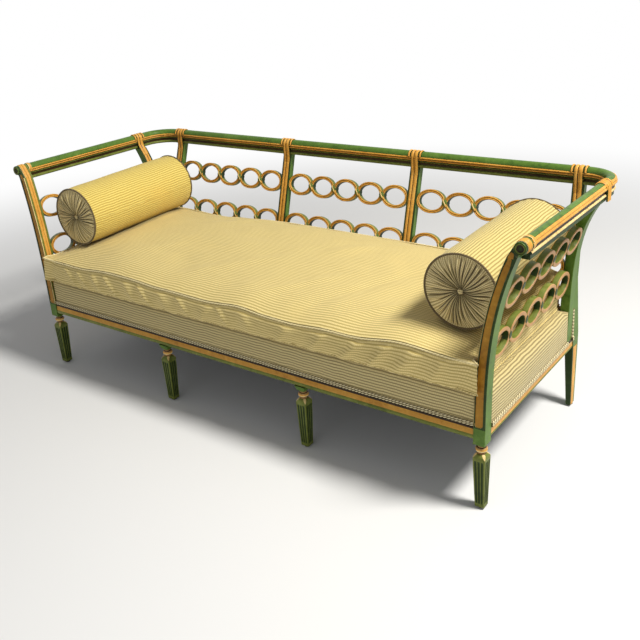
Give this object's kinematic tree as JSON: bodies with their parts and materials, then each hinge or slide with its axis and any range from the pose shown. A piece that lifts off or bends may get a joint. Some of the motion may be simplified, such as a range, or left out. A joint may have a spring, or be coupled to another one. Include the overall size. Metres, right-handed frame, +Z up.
{
  "type": "recamier",
  "caption": "Painted three-sided daybed settee with flared arms, open ring galleries, tied top rail, loose bench cushion and bolsters.",
  "frame": {"origin": "on the floor, at the middle of the object's width and depth", "axes": "+X towards the sitter's left arm, which is the picture's right, +Y from the open front towards the back rail, +Z up"},
  "size_m": [2.08, 0.819, 0.8099],
  "materials": {
    "green_paint": "satin leaf-green paint, darkened with an antique glaze",
    "gold_paint": "satin antique-gold paint with dark lines",
    "raw_timber": "bare hidden timber",
    "cover_cloth": "woven straw-yellow ribbed cotton",
    "jute_web": "plain jute webbing",
    "black_cloth": "thin black cambric",
    "glide_plastic": "dark matte"
  },
  "bodies": {
    "frame": {"front_post_left": "green_paint", "front_post_right": "green_paint", "front_leg_outer_left": "green_paint", "front_leg_outer_right": "green_paint", "front_leg_inner_left": "green_paint", "front_leg_inner_right": "green_paint", "leg_block_left": "green_paint", "leg_block_right": "green_paint", "rear_post_left": "green_paint", "rear_post_right": "green_paint", "rear_leg_inner_left": "green_paint", "rear_leg_inner_right": "green_paint", "foot_glides": "glide_plastic", "seat_rail_front": "gold_paint", "seat_rail_back": "green_paint", "seat_rail_left": "gold_paint", "seat_rail_right": "gold_paint", "cross_rail_left": "raw_timber", "cross_rail_right": "raw_timber", "corner_blocks": "raw_timber", "arm_post_left": "green_paint", "arm_post_right": "green_paint", "back_upright_left": "green_paint", "back_upright_right": "green_paint", "top_rail_back": "green_paint", "top_rail_corner_left": "green_paint", "top_rail_corner_right": "green_paint", "arm_rail_left": "green_paint", "arm_rail_right": "green_paint", "back_rail_ties": "gold_paint", "arm_rail_ties": "gold_paint", "arm_rail_collars": "gold_paint", "scroll_eyes": "green_paint", "back_rings_upper_left": "gold_paint", "back_rings_upper_middle": "gold_paint", "back_rings_upper_right": "gold_paint", "back_rings_lower_left": "gold_paint", "back_rings_lower_middle": "gold_paint", "back_rings_lower_right": "gold_paint", "arm_rings_upper_left": "gold_paint", "arm_rings_upper_right": "gold_paint", "arm_rings_lower_left": "gold_paint", "arm_rings_lower_right": "gold_paint", "seat_webbing": "jute_web", "dust_cover": "black_cloth", "deck_pad": "cover_cloth", "deck_gimp_front": "cover_cloth", "deck_gimp_sides": "cover_cloth"},
    "cushion": {"seat_cushion": "cover_cloth"},
    "bolster_left": {"bolster_left": "cover_cloth", "bolster_buttons_left": "cover_cloth"},
    "bolster_right": {"bolster_right": "cover_cloth", "bolster_buttons_right": "cover_cloth"}
  },
  "joints": [
    {"name": "seat_cushion_lift", "type": "slide", "parent": "frame", "child": "cushion", "axis": [0, 0, 1], "range_m": [0, 0.45]},
    {"name": "bolster_left_lift", "type": "slide", "parent": "cushion", "child": "bolster_left", "axis": [0, 0, 1], "range_m": [0, 0.3]},
    {"name": "bolster_right_lift", "type": "slide", "parent": "cushion", "child": "bolster_right", "axis": [0, 0, 1], "range_m": [0, 0.3]}
  ]
}
